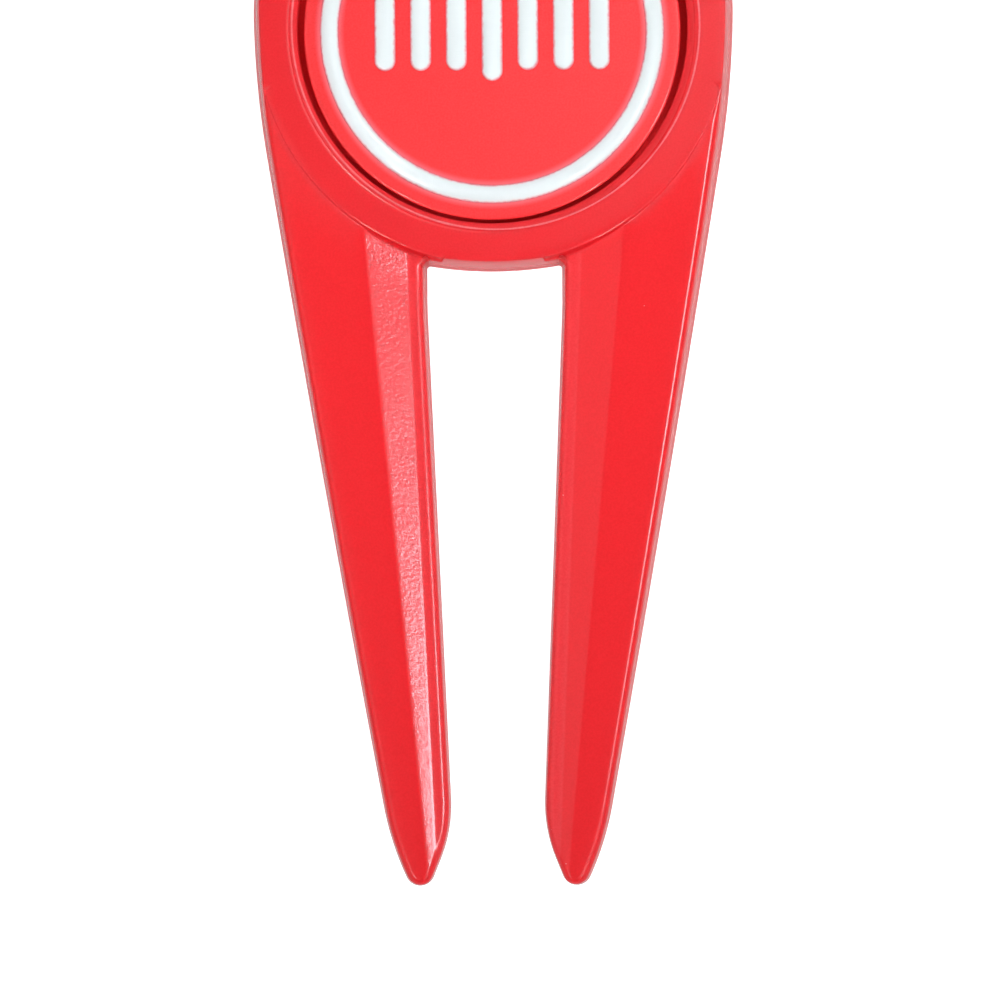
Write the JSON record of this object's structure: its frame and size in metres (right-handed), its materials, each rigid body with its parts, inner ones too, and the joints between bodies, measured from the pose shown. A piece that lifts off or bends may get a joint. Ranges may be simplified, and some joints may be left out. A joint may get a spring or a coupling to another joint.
{
  "type": "divot repair tool",
  "caption": "Two-pronged golf divot repair fork with a round head whose magnetic pocket holds a lift-out ball marker.",
  "frame": {"origin": "on the flat back face, under the centre of the round head", "axes": "+Z out of the front face, +Y from the prongs towards the top of the head, +X to the right seen from the front"},
  "size_m": [0.032, 0.0732, 0.004],
  "materials": {
    "red_paint": "glossy red paint over a zinc die casting, with a faint orange peel",
    "epoxy": "thin amber epoxy film",
    "nickel_plate": "bright nickel plating on a magnet disc",
    "marker_paint": "smooth glossy red enamel on a steel disc",
    "white_enamel": "raised soft white enamel"
  },
  "bodies": {
    "fork": {"fork_body": "red_paint", "magnet_adhesive": "epoxy", "pocket_magnet": "nickel_plate"},
    "ball_marker": {"marker_disc": "marker_paint", "marker_ring": "white_enamel", "marker_bar_1": "white_enamel", "marker_bar_2": "white_enamel", "marker_bar_3": "white_enamel", "marker_bar_4": "white_enamel", "marker_bar_5": "white_enamel", "marker_bar_6": "white_enamel", "marker_bar_7": "white_enamel"}
  },
  "joints": [
    {"name": "marker_lift", "type": "slide", "parent": "fork", "child": "ball_marker", "axis": [0, 0, 1], "range_m": [0, 0.012]}
  ]
}
